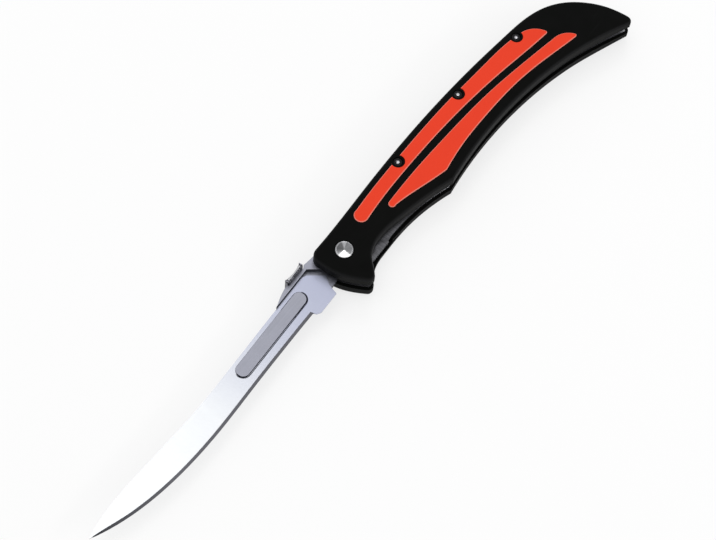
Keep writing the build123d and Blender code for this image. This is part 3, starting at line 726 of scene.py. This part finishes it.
class FILLETKNIFE_OT_lock(bpy.types.Operator):
    """Finish the liners and the stop pin, and make the sprung leaf with its ball"""

    bl_idname = "filletknife.lock"
    bl_label = "Liners and lock"

    def execute(self, context):
        settings = context.scene.filletknife_steel
        steel = brushed_steel("liner_steel", settings.liner_colour, settings, roughness=0.36)
        leaf = thumbed_steel(settings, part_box("lock_leaf")[0].y)
        hard = ground_steel(settings, settings.bright_colour)
        dress(steel, "lock_liner", "near_liner")
        dress(leaf, "lock_leaf")
        dress(hard, "stop_pin", "detent_ball")
        # Merged copies of the leaf, its edges softened, and of the ball ride with the lock in place of the
        # CAD nodes
        for name, piece_name, finish, slot, edge, keep in (
            ("lock_leaf", "sprung_leaf", leaf, "liner_steel", 0.10 * MILLIMETRE, 0.22),
            ("detent_ball", "pressed_ball", hard, "hard_steel", 0.0, 0.16),
        ):
            piece = softened_copy(name, piece_name, edge)
            piece.data.materials.append(finish)
            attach(piece, "lock")
            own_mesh(piece)
            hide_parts(name)
        return {"FINISHED"}


class FILLETKNIFE_OT_pivot(bpy.types.Operator):
    """Finish the pivot, its washers and the screw on its far side"""

    bl_idname = "filletknife.pivot"
    bl_label = "Pivot"

    def execute(self, context):
        settings = context.scene.filletknife_steel
        dress(turned_steel(settings, pivot_centre(), pivot_radius()), "pivot_barrel", "pivot_screw")
        dress(sintered_bronze(settings), "far_washer", "near_washer")
        return {"FINISHED"}


class FILLETKNIFE_OT_screws(bpy.types.Operator):
    """Make the handle screws and barrel nuts from geometry nodes, and blacken them and the saddle's screw"""

    bl_idname = "filletknife.screws"
    bl_label = "Handle screws and nuts"

    def execute(self, context):
        steel = context.scene.filletknife_steel
        settings = context.scene.filletknife_screws
        black = blackened_steel(steel)
        bare = brushed_steel("socket_steel", scaled(steel.bright_colour, 1.1), steel, roughness=0.30)
        tree = screw_tree()
        dress(black, "saddle_screw", "handle_screws", "handle_nuts")
        for name, piece_name, shaft, tilt in (
            ("handle_screws", "handle_screw_set", settings.shaft_radius, 0.0),
            ("handle_nuts", "barrel_nut_set", settings.nut_radius, math.pi),
        ):
            low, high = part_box(name)
            face = low.z if tilt else high.z
            points = [(middle.x, middle.y, face) for middle in clusters(name, settings.head_radius * 2)]
            piece = run_tree(tree, piece_name, points, {
                "Head Radius": settings.head_radius,
                "Head Height": settings.head_height,
                "Rounding": settings.rounding,
                "Crown": settings.crown,
                "Socket Radius": settings.socket_radius,
                "Socket Depth": settings.socket_depth,
                "Lobe Share": settings.lobe_share,
                "Shaft Radius": shaft,
                "Shaft Length": high.z - low.z,
                "Tilt": tilt,
                "Segments": settings.segments,
                "Head Finish": black,
                "Socket Finish": bare,
            })
            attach(piece, "handle")
            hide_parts(name)
        return {"FINISHED"}


class FILLETKNIFE_OT_holder(bpy.types.Operator):
    """Finish the blade holder, with painted shade on its walls and a painted shadow line round its bar"""

    bl_idname = "filletknife.holder"
    bl_label = "Blade holder"

    def execute(self, context):
        settings = context.scene.filletknife_steel

        # Painted shadow line round the bar's belly side and ends
        def bar_seam_shadow(surface):
            seam_shadow = surface.slot_seam_shadow(pivot_centre(), settings, -0.35 * MILLIMETRE, 0.2 * MILLIMETRE)
            return seam_shadow, settings.seam_shadow_colour

        # Painted shade on the holder's upright walls
        steel = brushed_steel(
            "holder_steel", settings.holder_colour, settings, turn=math.radians(2.0), roughness=0.38,
            blasted=0.5, wall_shade_share=0.12, shade=bar_seam_shadow,
        )
        dress(steel, "blade_holder")
        return {"FINISHED"}


class FILLETKNIFE_OT_saddle(bpy.types.Operator):
    """Make the thumb saddle with polished, broken edges, and painted shade with scores on its foot and
    curled ends
    """

    bl_idname = "filletknife.saddle"
    bl_label = "Thumb saddle"

    def execute(self, context):
        settings = context.scene.filletknife_steel
        low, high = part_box("thumb_saddle")
        foot_height, foot_blur = 0.85 * MILLIMETRE, 0.15 * MILLIMETRE
        end_width, end_blur = 1.15 * MILLIMETRE, 0.3 * MILLIMETRE
        score_dark, score_pale = (0.03, 0.03, 0.035), (0.16, 0.16, 0.18)

        def foot_and_end_shade(surface):
            # Painted shade, scored, on the foot and the curled ends, with the silver left in the middle
            x, y, _ = surface.seen_from((low + high) / 2)
            foot = ((foot_height - (high.y - low.y) / 2 - y) / foot_blur).clamped()
            ends = ((abs(x) - (high.x - low.x) / 2 + end_width) / end_blur).clamped()
            scores = surface.noise(0.3 * MILLIMETRE, (1.0, 12.0, 12.0), detail=1.0, seed=11.0)
            scored_shade = surface.blend(((scores - 0.42) * 7.0).clamped(), score_dark, score_pale)
            return (foot + ends).clamped(), scored_shade

        # Painted shade on the saddle's upright walls
        polished = brushed_steel(
            "saddle_steel", settings.bright_colour, settings, turn=math.radians(90.0), roughness=0.20,
            streak=0.10, wall_shade_share=0.30, shade=foot_and_end_shade,
        )
        dress(polished, "thumb_saddle")
        piece = softened_copy("thumb_saddle", "polished_saddle", 0.14 * MILLIMETRE, steps=3)
        piece.data.materials.append(polished)
        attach(piece, "blade_assembly")
        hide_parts("thumb_saddle")
        return {"FINISHED"}


class FILLETKNIFE_OT_blade(bpy.types.Operator):
    """Finish the blade"""

    bl_idname = "filletknife.blade"
    bl_label = "Blade"

    def execute(self, context):
        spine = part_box("blade")[1].y
        dress(blade_steel(context.scene.filletknife_steel, pivot_centre(), spine), "blade")
        return {"FINISHED"}


class FILLETKNIFE_OT_studio(bpy.types.Operator):
    """Set the floor, the soft light and the camera"""

    bl_idname = "filletknife.studio"
    bl_label = "Studio"

    def execute(self, context):
        settings = context.scene.filletknife_studio
        self.lay_floor(settings)
        self.set_world(settings)
        self.hang_lamps()
        self.place_camera(settings)
        context.scene.view_settings.view_transform = "Standard"
        return {"FINISHED"}

    def lay_floor(self, settings):
        reach = settings.floor_reach
        mesh = bpy.data.meshes.new("floor")
        corners = [(-reach, -reach, 0.0), (reach, -reach, 0.0), (reach, reach, 0.0), (-reach, reach, 0.0)]
        mesh.from_pydata(corners, [], [(0, 1, 2, 3)])
        floor = bpy.data.objects.new("floor", mesh)
        bpy.context.scene.collection.objects.link(floor)
        bench = Surface("floor_paper")
        mottle = bench.noise(50.0 * MILLIMETRE, detail=3.0)
        colour = bench.blend(mottle, scaled(settings.floor_colour, 0.985), settings.floor_colour)
        paper = bench.add("ShaderNodeBsdfDiffuse", values={"Color": colour})
        white = bench.add("ShaderNodeEmission", values={"Color": (1.0, 1.0, 1.0, 1.0), "Strength": 1.0})
        path = bench.node("ShaderNodeLightPath")
        seen = Wire(bench, path.outputs["Is Camera Ray"]) + Wire(bench, path.outputs["Is Glossy Ray"])
        seen = (seen + Wire(bench, path.outputs["Is Transmission Ray"])).clamped()
        mixed = bench.add("ShaderNodeMixShader", values={0: seen * settings.floor_glow, 1: paper, 2: white})
        bench.node("ShaderNodeOutputMaterial", values={"Surface": mixed})
        mesh.materials.append(bench.material)

    def set_world(self, settings):
        # White to the camera, a soft overhead light to the knife, paler above than at the horizon
        horizon, overhead_from, overhead_blur = 0.45, 0.78, 1.0 / 6.0
        world = bpy.data.worlds.new("studio")
        bpy.context.scene.world = world
        world.use_nodes = True
        bench = Bench(world.node_tree)
        bench.tree.nodes.clear()
        path = bench.node("ShaderNodeLightPath")
        shown = Wire(bench, path.outputs["Is Camera Ray"]) + Wire(bench, path.outputs["Is Transmission Ray"])
        shown = shown.clamped()
        glossy = Wire(bench, path.outputs["Is Glossy Ray"])
        up = bench.add("ShaderNodeTexCoord").parts()[2]
        sky = horizon + (1.0 - horizon) * ((up - overhead_from) / overhead_blur).clamped()
        level = shown + (1.0 - shown) * (glossy * sky + (1.0 - glossy) * settings.ambient)
        shine = bench.add("ShaderNodeBackground", values={"Color": (1.0, 1.0, 1.0, 1.0), "Strength": level})
        bench.node("ShaderNodeOutputWorld", values={"Surface": shine})

    def hang_lamps(self):
        # Name, place, aim, width, height, watts
        lamps = (
            ("overhead_softbox", (-0.05, 0.47, 1.20), (-0.05, 0.47, 0.0), 0.78, 0.60, 1.7),
            ("back_card", (0.71, 0.39, 0.90), (0.0, 0.0, 0.0), 0.30, 0.30, 1.3),
            ("belly_strip", (0.30, -0.95, 0.55), (0.03, 0.0, 0.0), 0.90, 0.14, 2.2),
        )
        for name, place, aim, width, height, watts in lamps:
            light = bpy.data.lights.new(name, "AREA")
            light.shape = "RECTANGLE"
            light.size = width
            light.size_y = height
            light.energy = watts
            lamp = bpy.data.objects.new(name, light)
            bpy.context.scene.collection.objects.link(lamp)
            towards = (Vector(aim) - Vector(place)).to_track_quat("-Z", "Y")
            lamp.matrix_world = Matrix.Translation(place) @ towards.to_matrix().to_4x4()

    def place_camera(self, settings):
        turn, rise, roll = settings.azimuth, settings.elevation, settings.roll
        back = Vector((math.sin(turn) * math.cos(rise), -math.cos(turn) * math.cos(rise), math.sin(rise)))
        level = Vector((math.cos(turn), math.sin(turn), 0.0))
        upward = back.cross(level)
        right = level * math.cos(roll) + upward * math.sin(roll)
        top = upward * math.cos(roll) - level * math.sin(roll)
        seat = Vector(settings.target) + back * settings.distance
        lens = bpy.data.cameras.new("camera")
        lens.sensor_width = 36.0
        lens.lens = settings.lens
        lens.clip_start = 0.01
        camera = bpy.data.objects.new("camera", lens)
        bpy.context.scene.collection.objects.link(camera)
        columns = Matrix((right, top, back)).transposed().to_4x4()
        camera.matrix_world = Matrix.Translation(seat) @ columns
        bpy.context.scene.camera = camera


class FILLETKNIFE_PT_panel(bpy.types.Panel):
    """Settings and steps of the fillet knife"""

    bl_idname = "FILLETKNIFE_PT_panel"
    bl_label = "Fillet Knife"
    bl_space_type = "VIEW_3D"
    bl_region_type = "UI"
    bl_category = "Fillet Knife"

    def draw(self, context):
        for name in SETTINGS:
            group = getattr(context.scene, name)
            box = self.layout.box()
            for key in type(group).__annotations__:
                box.prop(group, key)
        for step in STEPS:
            self.layout.operator(step.bl_idname)


SETTINGS = {
    "filletknife_handle": HandleSettings,
    "filletknife_steel": SteelSettings,
    "filletknife_screws": ScrewSettings,
    "filletknife_studio": StudioSettings,
}
STEPS = (
    FILLETKNIFE_OT_scales,
    FILLETKNIFE_OT_grips,
    FILLETKNIFE_OT_lock,
    FILLETKNIFE_OT_pivot,
    FILLETKNIFE_OT_screws,
    FILLETKNIFE_OT_holder,
    FILLETKNIFE_OT_saddle,
    FILLETKNIFE_OT_blade,
    FILLETKNIFE_OT_studio,
)


def register():
    for kind in (*SETTINGS.values(), *STEPS, FILLETKNIFE_PT_panel):
        bpy.utils.register_class(kind)
    for name, kind in SETTINGS.items():
        setattr(bpy.types.Scene, name, PointerProperty(type=kind))


def unregister():
    for name in SETTINGS:
        delattr(bpy.types.Scene, name)
    for kind in (FILLETKNIFE_PT_panel, *reversed(STEPS), *reversed(SETTINGS.values())):
        bpy.utils.unregister_class(kind)


def main():
    register()
    bpy.ops.filletknife.scales()
    bpy.ops.filletknife.grips()
    bpy.ops.filletknife.lock()
    bpy.ops.filletknife.pivot()
    bpy.ops.filletknife.screws()
    bpy.ops.filletknife.holder()
    bpy.ops.filletknife.saddle()
    bpy.ops.filletknife.blade()
    bpy.ops.filletknife.studio()


if __name__ == "__main__":
    main()
